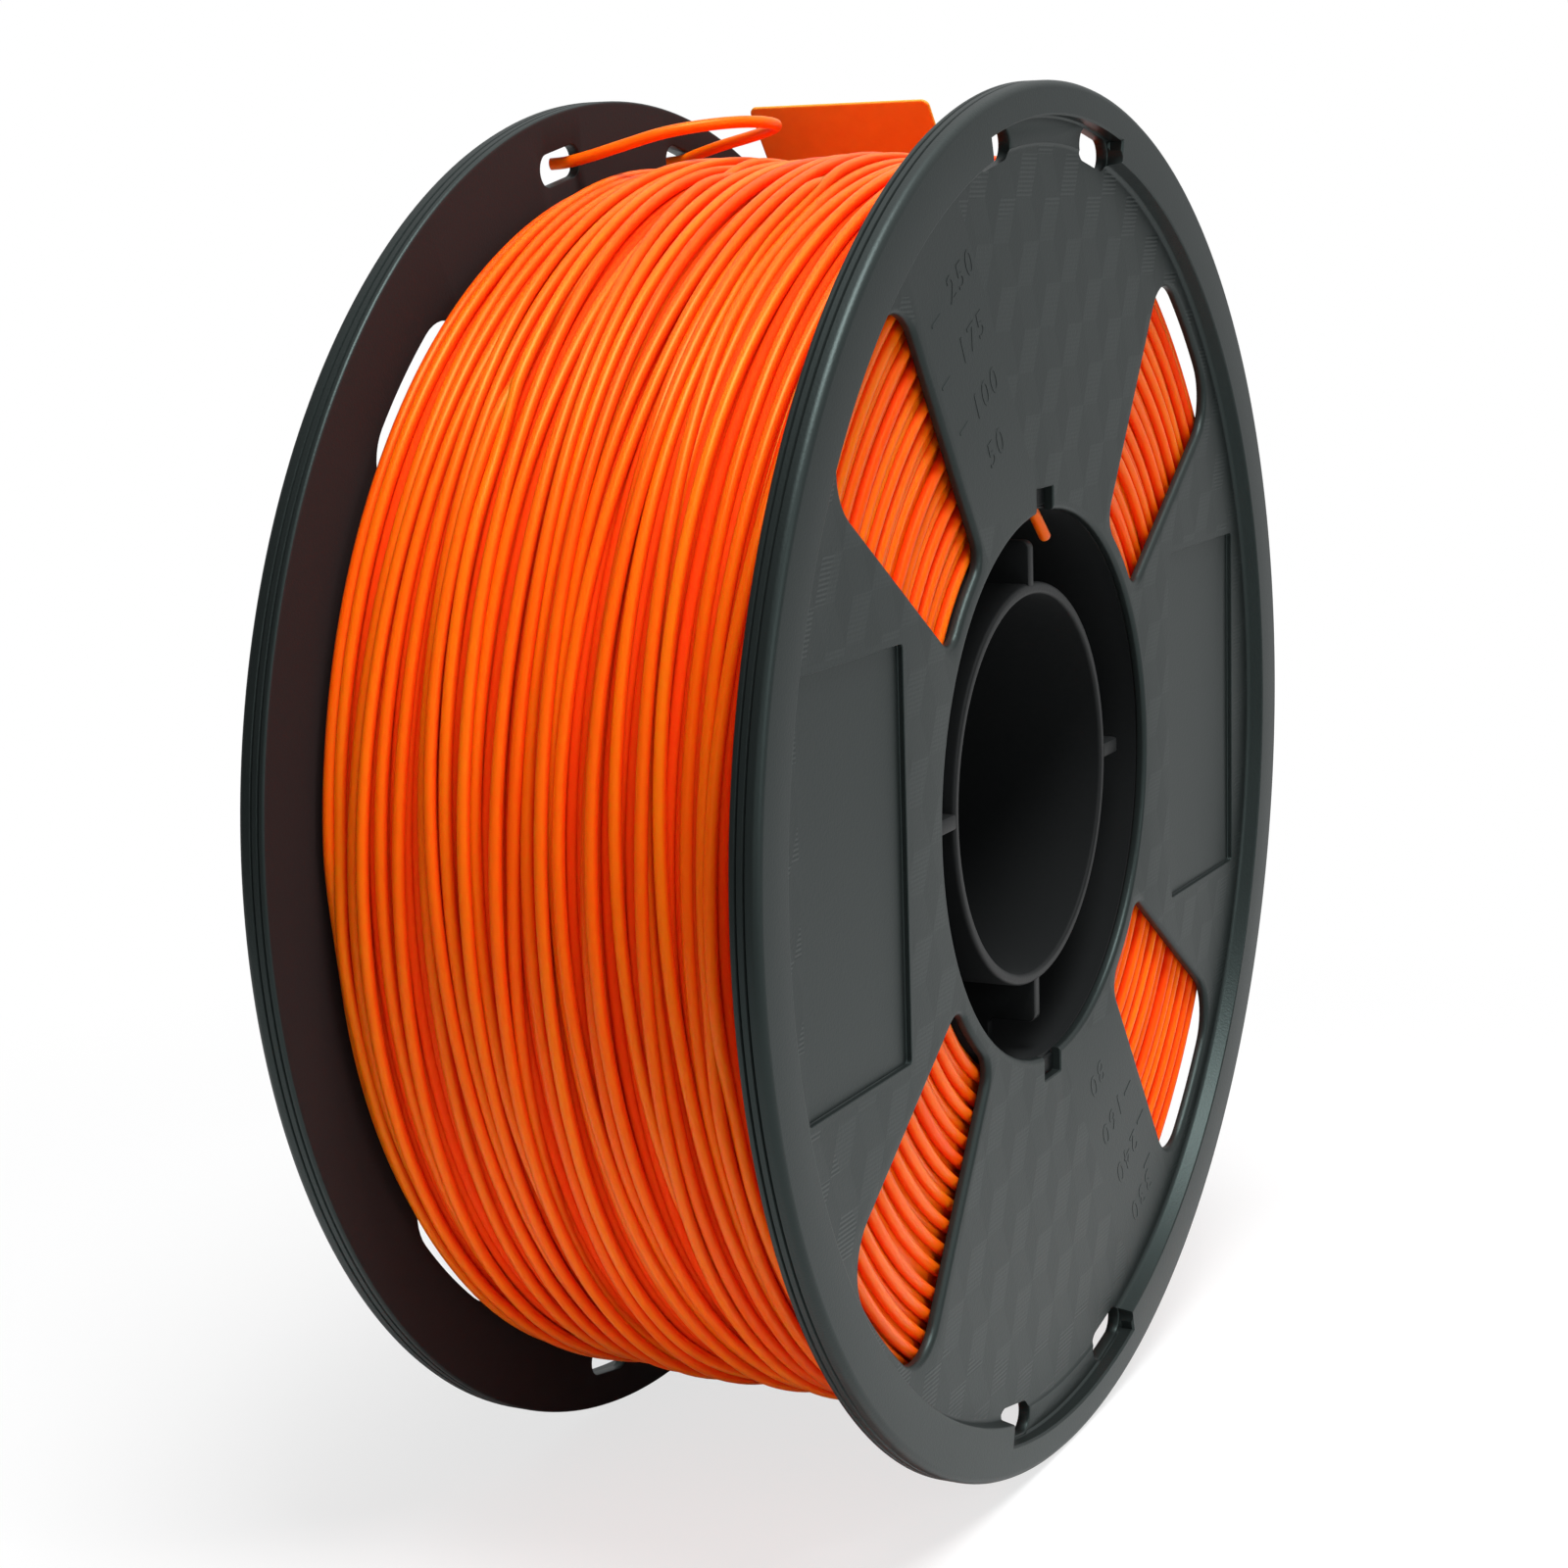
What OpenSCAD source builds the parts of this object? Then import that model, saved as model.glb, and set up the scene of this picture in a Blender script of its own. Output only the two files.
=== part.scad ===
// Filament spool: two moulded flanges on a hub drum, wound with plastic filament.
// Millimetres, real size. The spool's axis runs along Y and +Z is up.
// The origin is the centre of the bore, half way between the flanges.
// The front flange faces -Y and the rear flange faces +Y.

/* [Flanges] */
// outer diameter of both flanges
flange_d = 200; // [160:1:230]
// overall width, from one flange's border face to the other's
spool_w = 74; // [50:1:100]
// thickness of each flange at its border ring
rim_t = 4.2; // [3:0.1:8]
// how far the border ring stands proud of the field
border_h = 2.6; // [1:0.1:3]
// width of the border ring
border_w = 8; // [5:0.5:12]
// radius of the round opening in each flange
hub_opening_r = 40; // [35:0.5:50]
// width of the clip notches at the opening's top and bottom
notch_w = 6.4; // [4:0.2:10]
// how far a clip notch reaches from the axis
notch_r = 43.4; // [42:0.2:48]
// how far the notches sit to the left of the upright centre line
notch_shift = 1.4; // [0:0.2:3]

/* [Windows] */
// inner radius of the four windows in each flange
window_in_r = 43; // [42:0.5:55]
// outer radius of the windows
window_out_r = 88.5; // [70:0.5:91]
// half the angle that a window spans, in degrees
window_half_a = 10.7; // [5:0.1:20]
// corner radius at a window's outer end
window_big_r = 7.5; // [2:0.5:9]
// corner radius at a window's inner end
window_small_r = 3.5; // [2:0.5:6]

/* [Label panels and tie holes] */
// width of each label panel along the diameter
panel_w = 31; // [20:1:36]
// height of each label panel
panel_h = 56; // [30:1:60]
// distance from the axis to a panel's centre line
panel_x = 67.5; // [60:0.5:70]
// depth of the label panels
panel_deep = 0.8; // [0.2:0.1:1]
// radius of the circle that the tie holes lie on
tie_r = 92.5; // [90:0.1:94]
// angle of each tie hole to the upright centre line, in degrees
tie_a = 11.8; // [8:0.1:20]
// length of a tie hole round the rim
tie_w = 11.4; // [6:0.1:14]
// width of a tie hole along the radius
tie_len = 4.6; // [3:0.1:5]
// depth of the channel in the border ring that joins two tie holes
channel_deep = 2.3; // [0.5:0.1:2.6]

/* [Hub drum] */
// outer radius of the barrel that the filament is wound on
barrel_r = 42.4; // [42:0.1:60]
// wall of the barrel
barrel_wall = 2.2; // [1.2:0.1:2.4]
// radius of the bore
bore_r = 27.7; // [10:0.1:30]
// wall of the bore tube
bore_wall = 1.8; // [1.5:0.1:4]
// how far the bore tube ends short of the border face
bore_inset = 5.5; // [2:0.25:8]
// thickness of the four ribs between bore tube and barrel
rib_t = 2.2; // [1:0.1:4]
// how far from the axis a rib's two ends reach
rib_end_r = 35.7; // [32:0.1:39]
// how deep the step at a rib's ends is, which clears the flange
rib_step = 7.5; // [2:0.5:20]

/* [Filament] */
// filament diameter
filament_d = 1.75; // [1.75:0.05:2.85]
// radius of the plain core under the outer layer
core_r = 86.9; // [60:0.1:90]
// radius of the outer layer's centre line
layer_r = 88.6; // [61:0.1:92]
// turns in the outer layer
layer_turns = 24; // [8:1:24]

/* [Colour card] */
// width of the card along the axis
card_w = 31; // [20:1:40]
// length of the card
card_l = 60; // [40:1:70]
// thickness of the card
card_t = 0.5; // [0.3:0.1:1]

/* [Hidden] */
rim_r = flange_d / 2;
face_y = spool_w / 2;                 // border face
field_y = face_y - border_h;          // field of the flange
inner_y = face_y - rim_t;             // face towards the filament
border_r = rim_r - border_w;
barrel_in_r = barrel_r - barrel_wall;
bore_y = face_y - bore_inset;
lug_y = field_y - 0.5;                // end of the lugs that sit in the notches
fit = 0.05;                           // clearance between pieces that touch
groove = 0.25;                        // depth of the two grooves in the rim
tube_r = filament_d / 2;
layer_y = inner_y - tube_r - 0.15;    // last turn's distance from the middle
rings = 24;                           // rings in one turn
dive_r = 2;                           // bend of a turn's end into the core
// free loop at the rear flange's upper tie holes, from one hole to the other
tail_route = [[-15.3, 36.5, 90.9], [-15, 34, 91.1], [-14.2, 30.4, 91.9], [-12.8, 25.9, 93.2],
              [-10.8, 20.7, 94.7], [-7.8, 16.1, 95.6], [-3.2, 12.3, 96.1], [2, 10.4, 96.1],
              [7.2, 10.9, 95.7], [11.6, 14.4, 95.1], [15.2, 19.8, 94.3], [17.8, 25.4, 93.4],
              [19.4, 30.7, 92.2], [20, 33.6, 91.4], [20.2, 36.5, 91.1]];
tail_steps = 3;
tail_sides = 8;
// start of the winding, where it comes through the barrel wall
start_from = [2.1, -30.6, 40.55];
start_angle = 131.9;
start_l = 7.9;
card_a = 38;                          // where the card lies on the winding
card_n = 89.7;                        // distance of the card from the axis
card_top = 56;                        // top edge, from the point of contact
card_y0 = -0.9;
smooth = 180;

// points on an arc round c from angle a0 to a1
function arc(c, r, a0, a1, n) =
    [for (i = [0:n]) let (a = a0 + (a1 - a0) * i / n) c + r * [cos(a), sin(a)]];

function unit(v) = v / norm(v);

// outline of one window, its middle on the X axis: a sector with round corners
function window_outline() =
    let (big_a = window_half_a - asin(window_big_r / (window_out_r - window_big_r)),
         small_a = window_half_a - asin(window_small_r / (window_in_r + window_small_r)),
         big_c = window_out_r - window_big_r,
         small_c = window_in_r + window_small_r)
    concat(
        arc(big_c * [cos(-big_a), sin(-big_a)], window_big_r, -window_half_a - 90, -big_a, 10),
        arc([0, 0], window_out_r, -big_a + 1, big_a - 1, 6),
        arc(big_c * [cos(big_a), sin(big_a)], window_big_r, big_a, window_half_a + 90, 10),
        arc(small_c * [cos(small_a), sin(small_a)], window_small_r,
            window_half_a + 90, 180 + small_a, 8),
        arc([0, 0], window_in_r, small_a - 0.8, -small_a + 0.8, 3),
        arc(small_c * [cos(-small_a), sin(-small_a)], window_small_r,
            180 - small_a, 270 - window_half_a, 8));

// section of a flange: radius against distance from the spool's middle
function flange_section() = [
    [hub_opening_r, inner_y],
    [rim_r - 0.4, inner_y],
    [rim_r, inner_y + 0.4],
    [rim_r, face_y - 3.4], [rim_r - groove, face_y - 3.2], [rim_r, face_y - 3],
    [rim_r, face_y - 2.3], [rim_r - groove, face_y - 2.1], [rim_r, face_y - 1.9],
    [rim_r, face_y - 1], [rim_r - 0.13, face_y - 0.5],
    [rim_r - 0.5, face_y - 0.13], [rim_r - 1, face_y],
    [border_r + 0.5, face_y], [border_r, face_y - 0.5],
    [border_r, field_y + 0.5], [border_r - 0.5, field_y],
    [hub_opening_r + 1, field_y], [hub_opening_r, field_y - 1]];

// one flange, its outer face towards +Z and its upright line along Y
module flange() {
    difference() {
        rotate_extrude($fn = smooth) polygon(flange_section());
        for (a = [45:90:315])
            rotate([0, 0, a]) translate([0, 0, inner_y - 1])
                linear_extrude(rim_t + 2) polygon(window_outline());
        for (s = [-1, 1])
            translate([s * panel_x - panel_w / 2, -panel_h / 2, field_y - panel_deep])
                cube([panel_w, panel_h, border_h]);
        for (s = [0, 1])
            rotate([0, 0, 180 * s]) {
                for (t = [-1, 1])
                    rotate([0, 0, t * tie_a]) tie_hole();
                channel();
            }
        translate([-notch_shift - notch_w / 2, -notch_r, inner_y - 1])
            cube([notch_w, 2 * notch_r, rim_t + 2]);
    }
}

// slot through the flange for the filament's end, long round the rim
module tie_hole() {
    reach = (tie_w - tie_len) / 2;
    for (s = [-1, 1])
        translate([s * reach, tie_r, inner_y - 1])
            cylinder(h = rim_t + 2, d = tie_len, $fn = 48);
    translate([-reach, tie_r - tie_len / 2, inner_y - 1])
        cube([2 * reach, tie_len, rim_t + 2]);
}

// channel in the border ring that joins two tie holes, open towards the field
module channel() {
    out_r = tie_r + tie_len / 2 + 0.4;
    end_a = tie_a + 3.5;
    translate([0, 0, face_y - channel_deep])
        linear_extrude(border_h) polygon(concat(
            arc([0, 0], out_r, 90 - end_a, 90 + end_a, 16),
            arc([0, 0], border_r - 1, 90 + end_a, 90 - end_a, 16)));
}

module front_flange() color([0.24, 0.26, 0.26])
    rotate([90, 0, 0]) flange();

module rear_flange() color([0.22, 0.24, 0.24])
    rotate([0, 0, 180]) rotate([90, 0, 0]) flange();

// outline of a rib: bore tube to barrel, stepped back at both ends
function rib_outline() =
    let (near = bore_r + bore_wall - 0.5, far = barrel_in_r + 0.5, step_y = bore_y - rib_step)
    [[near, -bore_y], [rib_end_r - 1, -bore_y], [rib_end_r, -bore_y + 1], [rib_end_r, -step_y],
     [far, -step_y], [far, step_y],
     [rib_end_r, step_y], [rib_end_r, bore_y - 1], [rib_end_r - 1, bore_y], [near, bore_y]];

// barrel, bore tube, four ribs and the lugs that catch in the flanges' notches
module hub_drum() color([0.16, 0.17, 0.17])
    difference() {
        union() {
            rotate([90, 0, 0]) rotate_extrude($fn = smooth) polygon([
                [barrel_in_r, -inner_y], [barrel_r, -inner_y],
                [barrel_r, inner_y], [barrel_in_r, inner_y]]);
            rotate([90, 0, 0]) rotate_extrude($fn = smooth) polygon([
                [bore_r, -bore_y], [bore_r + bore_wall - 0.4, -bore_y],
                [bore_r + bore_wall, -bore_y + 0.4], [bore_r + bore_wall, bore_y - 0.4],
                [bore_r + bore_wall - 0.4, bore_y], [bore_r, bore_y]]);
            for (a = [0:90:270])
                rotate([0, a, 0]) translate([0, 0, -rib_t / 2])
                    linear_extrude(rib_t) polygon(rib_outline());
            for (s = [-1, 1], t = [-1, 1]) {
                low = t > 0 ? barrel_in_r + 0.5 : -notch_r + 0.3;
                near = s > 0 ? inner_y : -lug_y;
                shift = s > 0 ? notch_shift : -notch_shift;
                translate([shift - notch_w / 2 + 0.3, near, low])
                    cube([notch_w - 0.6, lug_y - inner_y, notch_r - barrel_in_r - 0.8]);
            }
        }
        translate(start_from) rotate([0, start_angle, 0])
            translate([0, 0, -3]) cylinder(h = 8, r = tube_r + 0.08, $fn = 32);
    }

// solid winding under the outer layer, with a slot where each end of the layer dives in
module filament_core() color([0.85, 0.3, 0.04])
    difference() {
        rotate([90, 0, 0]) rotate_extrude($fn = smooth) polygon([
            [barrel_r + fit, -inner_y + fit], [core_r, -inner_y + fit],
            [core_r, inner_y - fit], [barrel_r + fit, inner_y - fit]]);
        translate([core_r - 3.2, -inner_y, -dive_r - 1.3])
            cube([5, tube_r * 2 + 0.8, 3.6]);
        translate([core_r - 3.2, inner_y - tube_r * 2 - 0.8, dive_r - 2.3])
            cube([5, tube_r * 2 + 0.8, 3.6]);
    }

// point of the helix at angle a, measured from the first turn's start
function layer_point(a) =
    let (y = -layer_y + 2 * layer_y * a / (360 * layer_turns))
    [layer_r * cos(a), y, layer_r * sin(a)];

// a turn's end: a bend of dive_r towards the axis, then one diameter straight
function dive(p, way) =
    let (ahead = [0, 0, way], down = [-1, 0, 0])
    concat([for (b = [30:30:90]) p + dive_r * (sin(b) * ahead + (1 - cos(b)) * down)],
           [p + dive_r * ahead + (dive_r + filament_d) * down]);

function reversed(v) = [for (i = [len(v) - 1:-1:0]) v[i]];

layer_path = concat(
    reversed(dive(layer_point(0), -1)),
    [for (i = [0:rings * layer_turns]) layer_point(i * 360 / rings)],
    dive(layer_point(360 * layer_turns), 1));

// least distance from the layer to itself, measured between turns on the path's points
layer_gap = min([for (i = [0:len(layer_path) - 1], j = [i + rings - 4:i + rings + 4])
    if (j < len(layer_path)) norm(layer_path[i] - layer_path[j]) - filament_d]);
echo(least_gap_between_turns = layer_gap);

// direction of the path at point i
function ahead_at(path, i) =
    unit(path[min(i + 1, len(path) - 1)] - path[max(i - 1, 0)]);

// ring of points round the path, square to it and turned to the direction side
function ring_at(path, i, r, sides, side) =
    let (t = ahead_at(path, i),
         u = unit(side - (side * t) * t),
         v = cross(t, u))
    [for (k = [0:sides - 1]) let (a = 360 * k / sides) path[i] + r * (cos(a) * u + sin(a) * v)];

// closed tube of triangles along a path
module swept_tube(path, r, sides, side) {
    n = len(path);
    points = concat([for (i = [0:n - 1]) each ring_at(path, i, r, sides, side)],
                    [path[0], path[n - 1]]);
    walls = [for (i = [0:n - 2], k = [0:sides - 1])
        let (a = i * sides + k, b = i * sides + (k + 1) % sides)
        each [[a, b + sides, b], [a, a + sides, b + sides]]];
    caps = [for (k = [0:sides - 1])
        let (a = k, b = (k + 1) % sides, last = (n - 1) * sides)
        each [[n * sides, a, b], [n * sides + 1, last + b, last + a]]];
    polyhedron(points = points, faces = concat(walls, caps));
}

// the turns that show, one unbroken tube from the front flange to the rear
module filament_outer_layer() color([1, 0.42, 0.08])
    swept_tube(layer_path, tube_r, 6, [0, 1, 0]);

// point between two route points, with the route's own directions at both
function between(p0, p1, p2, p3, t) =
    p1 + t * (p2 - p0) / 2
    + t * t * (2 * p0 - 5 * p1 + 4 * p2 - p3) / 2
    + t * t * t * (3 * p1 - p0 - 3 * p2 + p3) / 2;

tail_path = let (r = tail_route, n = len(tail_route))
    concat([for (i = [0:n - 2], k = [0:tail_steps - 1])
        between(r[max(i - 1, 0)], r[i], r[i + 1], r[min(i + 2, n - 1)], k / tail_steps)],
        [r[n - 1]]);

tail_length = [for (i = 1, sum = 0; i <= len(tail_path);
    sum = sum + (i < len(tail_path) ? norm(tail_path[i] - tail_path[i - 1]) : 0), i = i + 1) sum];
echo(tail_length = tail_length[len(tail_length) - 1]);

// free loop of filament between the rear flange's two upper tie holes
module filament_tail() color([1, 0.45, 0.1])
    swept_tube(tail_path, tube_r, tail_sides, [0.3, 0.2, 1]);

// first end of the filament, hooked through the barrel wall
module filament_start() color([0.9, 0.4, 0.12])
    translate(start_from) rotate([0, start_angle, 0])
        cylinder(h = start_l, r = tube_r, $fn = 32);

// flat card that lies on the far side of the winding and stands up past the flanges
module colour_card() color([0.88, 0.39, 0.12])
    rotate([0, -card_a, 0]) translate([card_n, card_y0, card_top - card_l])
        cube([card_t, card_w, card_l]);

front_flange();
rear_flange();
hub_drum();
filament_core();
filament_outer_layer();
filament_tail();
filament_start();
colour_card();
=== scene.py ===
import math

import bmesh
import bpy
import numpy as np
from mathutils import Matrix, Vector


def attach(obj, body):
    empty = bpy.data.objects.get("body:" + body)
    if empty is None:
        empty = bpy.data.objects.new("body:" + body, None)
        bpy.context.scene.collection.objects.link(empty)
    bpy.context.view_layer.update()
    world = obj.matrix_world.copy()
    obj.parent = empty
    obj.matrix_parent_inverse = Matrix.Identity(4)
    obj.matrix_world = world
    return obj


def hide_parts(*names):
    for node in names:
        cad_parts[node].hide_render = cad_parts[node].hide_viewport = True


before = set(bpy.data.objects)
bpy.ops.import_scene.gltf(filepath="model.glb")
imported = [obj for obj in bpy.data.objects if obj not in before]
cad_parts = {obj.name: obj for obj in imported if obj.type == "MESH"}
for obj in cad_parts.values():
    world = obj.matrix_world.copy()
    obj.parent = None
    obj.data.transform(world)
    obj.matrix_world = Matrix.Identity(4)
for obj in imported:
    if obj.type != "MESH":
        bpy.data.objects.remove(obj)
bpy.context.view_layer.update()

scene = bpy.context.scene
MM = 0.001


# ---------------------------------------------------------------- camera
# A short telephoto close to the spool, a little above its middle, that sees the
# winding square on and the front flange's outer face at a slant.
camera_place = Vector((-406.9, -194.2, 83.0)) * MM
camera_look = Vector((0.8791, 0.4396, -0.18423)).normalized()
camera_roll = math.radians(1.719)
camera_right = camera_look.cross(Vector((0, 0, 1))).normalized()
camera_up = camera_right.cross(camera_look)
camera_up = camera_up * math.cos(camera_roll) + camera_right * math.sin(camera_roll)
camera_right = camera_look.cross(camera_up)
camera_data = bpy.data.cameras.new("camera")
camera_data.sensor_width = 36
camera_data.lens = 69.984
camera_data.clip_start = 0.01
camera_data.clip_end = 50
camera = bpy.data.objects.new("camera", camera_data)
turn = Matrix((camera_right, camera_up, -camera_look)).transposed().to_4x4()
camera.matrix_world = Matrix.Translation(camera_place) @ turn
scene.collection.objects.link(camera)
scene.camera = camera
scene.view_settings.view_transform = "Standard"


# ---------------------------------------------------------------- filament's free end
# A loop of the spool's filament, extruded plastic 1.75 mm thick, pushed through two slots
# of the rear flange so that the winding can't come undone. Both of its ends go into the
# flange.
FILAMENT_R = 0.875
FILAMENT_DEEP = (0.86, 0.074, 0.0006, 1)
FILAMENT_PALE = (1.0, 0.165, 0.0024, 1)
# Painted shade: the colour of a strand's flanks, where turns lie against each other.
FILAMENT_FLANK_SHADE = (0.88, 0.04, 0.0004, 1)
STREAKS = (0.03, 1.6, 1.6)    # streaks per mm along the strand, and round it
DRIFTS = 0.0045               # slow changes of shade per mm along the strand
# A free end has nothing beside it, so it gets none of the flanks' painted shade.
NO_FLANKS = (1, 0.5, 0.5)     # how a free end is laid: nothing lies beside it
TAIL_ROUTE = np.array([
    [-15.3, 36.5, 90.9], [-15, 34, 91.1], [-14.2, 30.4, 91.9], [-12.8, 25.9, 93.2],
    [-10.8, 20.7, 94.7], [-7.8, 16.1, 95.6], [-3.2, 12.3, 96.1], [2, 10.4, 96.1],
    [7.2, 10.9, 95.7], [11.6, 14.4, 95.1], [15.2, 19.8, 94.3], [17.8, 25.4, 93.4],
    [19.4, 30.7, 92.2], [20, 33.6, 91.4], [20.2, 36.5, 91.1]])


def through(route, steps):
    """Points on the curve through the route's points: each span is the cubic that
    leaves and meets its ends along the line between their neighbours."""
    ends = np.vstack([2 * route[0] - route[1], route, 2 * route[-1] - route[-2]])
    p0, p1, p2, p3 = (ends[k:len(route) - 1 + k, None] for k in range(4))
    t = (np.arange(steps) / steps)[None, :, None]
    span = (p1 + t * (p2 - p0) / 2 + t**2 * (2 * p0 - 5 * p1 + 4 * p2 - p3) / 2
            + t**3 * (3 * p1 - p0 - 3 * p2 + p3) / 2)
    return np.vstack([span.reshape(-1, 3), route[-1:]])


def grid_faces(rows, columns, wrap_rows=False):
    """Quads between the points of a grid of rows, point k of row i joined to points
    k and k + 1 of row i + 1. Each row closes on itself, and with wrap_rows the last row
    joins the first."""
    last = rows if wrap_rows else rows - 1
    i, k = np.meshgrid(np.arange(last), np.arange(columns), indexing="ij")
    i2, k2 = (i + 1) % rows, (k + 1) % columns
    quads = [i * columns + k, i * columns + k2, i2 * columns + k2, i2 * columns + k]
    return np.stack(quads, -1).reshape(-1, 4)


def tube(path, radius, sides, side=(0, 1, 0)):
    """Tube along a path: at each point a ring of that radius, square to the path and
    counted from the direction side. Returns points, faces with closed ends, and for
    each point how far along it lies and which way round."""
    ahead = np.gradient(path, axis=0)
    ahead /= np.linalg.norm(ahead, axis=1, keepdims=True)
    u = np.array(side, float) - (ahead @ np.array(side, float))[:, None] * ahead
    u /= np.linalg.norm(u, axis=1, keepdims=True)
    v = np.cross(ahead, u)
    a = np.arange(sides) * 2 * np.pi / sides
    ring = np.cos(a)[None, :, None] * u[:, None] + np.sin(a)[None, :, None] * v[:, None]
    rings = path[:, None] + np.broadcast_to(radius, len(path))[:, None, None] * ring
    count = len(path)
    gone = np.r_[0, np.cumsum(np.linalg.norm(np.diff(path, axis=0), axis=1))]
    laid = np.stack(np.broadcast_arrays(gone[:, None], np.cos(a)[None], np.sin(a)[None]), -1)
    ends = [list(range(sides))[::-1], list(range((count - 1) * sides, count * sides))]
    return rings.reshape(-1, 3), grid_faces(count, sides).tolist() + ends, laid.reshape(-1, 3)


def new_piece(name, points, faces, material, laid=None, sharp=180):
    """Mesh object from points in millimetres, smooth up to the angle sharp. laid is
    kept as the attribute that the filament's streaks follow."""
    mesh = bpy.data.meshes.new(name)
    mesh.from_pydata((np.asarray(points) * MM).tolist(), [], faces)
    mesh.materials.append(material)
    mesh.polygons.foreach_set("use_smooth", np.ones(len(mesh.polygons), bool))
    if sharp < 180:
        mesh.set_sharp_from_angle(angle=math.radians(sharp))
    if laid is not None:
        layer = mesh.attributes.new("laid", "FLOAT_VECTOR", "POINT")
        layer.data.foreach_set("vector", np.asarray(laid, np.float32).ravel())
    mesh.update()
    piece = bpy.data.objects.new(name, mesh)
    scene.collection.objects.link(piece)
    return piece


def new_material(name):
    """Empty node material; returns it with its node tree and its Principled shader."""
    material = bpy.data.materials.new(name)
    material.use_nodes = True
    tree = material.node_tree
    return material, tree, tree.nodes["Principled BSDF"]


def add(tree, kind, values=None, **settings):
    """New node with its settings, and its inputs set to values or joined to sockets."""
    node = tree.nodes.new(kind)
    for key, value in settings.items():
        setattr(node, key, value)
    for key, value in (values or {}).items():
        if isinstance(value, bpy.types.NodeSocket):
            tree.links.new(value, node.inputs[key])
        else:
            node.inputs[key].default_value = value
    return node


def sums(tree, operation, *values):
    """Output of a Math node on two or three values or sockets."""
    return add(tree, "ShaderNodeMath", dict(enumerate(values)), operation=operation).outputs[0]


def blend(tree, share, low, high):
    """Colour between low and high, by the socket share."""
    node = add(tree, "ShaderNodeMix", {"Factor": share}, data_type="RGBA")
    for key, value in ((6, low), (7, high)):      # the colour sockets A and B
        if isinstance(value, bpy.types.NodeSocket):
            tree.links.new(value, node.inputs[key])
        else:
            node.inputs[key].default_value = value
    return node.outputs[2]                        # the colour result


def filament_material():
    """Orange filament: satin, saturated and a little translucent. Its shade drifts
    along the strand, so that neighbouring turns differ, and it has fine drawn streaks.
    The flanks, where turns lie against each other, are painted a deeper red as painted shade of
    light that has come through the next turn, and are duller."""
    material, tree, shader = new_material("orange_filament")
    place = add(tree, "ShaderNodeTexCoord").outputs["Object"]
    laid = add(tree, "ShaderNodeAttribute", attribute_name="laid").outputs["Vector"]
    drawn = add(tree, "ShaderNodeMapping", {"Vector": laid, "Scale": STREAKS})
    streak = add(tree, "ShaderNodeTexNoise", {"Vector": drawn.outputs[0], "Scale": 1.0,
                                              "Detail": 3.0, "Roughness": 0.6})
    apart = add(tree, "ShaderNodeSeparateXYZ", {0: laid})
    along = apart.outputs["X"]
    drift = add(tree, "ShaderNodeTexNoise", {"W": sums(tree, "MULTIPLY", along, DRIFTS),
                                             "Scale": 1.0, "Detail": 1.0},
                noise_dimensions="1D")
    shade = sums(tree, "MULTIPLY_ADD", streak.outputs["Fac"], 0.1, -0.05)
    shade = sums(tree, "ADD", shade, drift.outputs["Fac"])
    share = add(tree, "ShaderNodeMapRange", {"Value": shade, "From Min": 0.2, "From Max": 0.8})
    colour = blend(tree, share.outputs[0], FILAMENT_DEEP, FILAMENT_PALE)
    flank = add(tree, "ShaderNodeMapRange", {"Value": sums(tree, "ABSOLUTE", apart.outputs["Y"]),
                                             "From Min": 0.7, "From Max": 1.0}).outputs[0]
    # Painted shade: the flanks, facing the neighbouring turns, are painted a deeper red.
    colour = blend(tree, flank, colour, FILAMENT_FLANK_SHADE)
    tree.links.new(colour, shader.inputs["Base Color"])
    shader.inputs["Specular IOR Level"].default_value = 0.35
    shader.inputs["Specular Tint"].default_value = (1.0, 0.7, 0.15, 1)
    shader.inputs["Subsurface Weight"].default_value = 0.75
    shader.inputs["Subsurface Radius"].default_value = (1.0, 0.15, 0.03)
    shader.inputs["Subsurface Scale"].default_value = 0.0016
    gloss = add(tree, "ShaderNodeMapRange", {"Value": streak.outputs["Fac"], "From Min": 0.3,
                                             "From Max": 0.7, "To Min": 0.32, "To Max": 0.4})
    rough = sums(tree, "MULTIPLY_ADD", flank, 0.4, gloss.outputs[0])
    tree.links.new(rough, shader.inputs["Roughness"])
    grain = add(tree, "ShaderNodeTexNoise", {"Vector": place, "Scale": 1400.0, "Detail": 1.0})
    height = sums(tree, "MULTIPLY_ADD", grain.outputs["Fac"], 0.3, streak.outputs["Fac"])
    bump = add(tree, "ShaderNodeBump", {"Height": height, "Strength": 0.05, "Distance": 0.0001})
    tree.links.new(bump.outputs["Normal"], shader.inputs["Normal"])
    return material


orange_filament = filament_material()
tail_path = through(TAIL_ROUTE, 8)
tail_points, tail_faces, tail_laid = tube(tail_path, FILAMENT_R, 20, (0.3, 0.2, 1))
tail = new_piece("filament_loop", tail_points, tail_faces, orange_filament,
                 tail_laid * NO_FLANKS, 60)
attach(tail, "root")
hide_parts("filament_tail")


# ---------------------------------------------------------------- room
# White floor and a plain light room: a soft lamp above, weak ones on the right and in
# front, and a white backdrop that gloss shows, palest behind the spool, on its right and
# overhead.
FLOOR_Z, FLOOR_R, FLOOR_SIDES = -100, 360, 64
SHADE_NEAR, SHADE_FAR = 0.14, 0.32      # metres: the shadow fades out between these
MIRROR_NEAR, MIRROR_FAR = 0.06, 0.2     # metres: gloss shows a white floor from these on
FLOOR_WHITE, FLOOR_MIRRORED = 0.72, 0.68
LIGHT_SIDE = (0.80, -0.48, 0.36)
PALE_SIDE = (0.88, -0.47, 0)
OVERHEAD = (0.4, -0.2, 0.9)
LAMP_SIZE = 450


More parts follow.
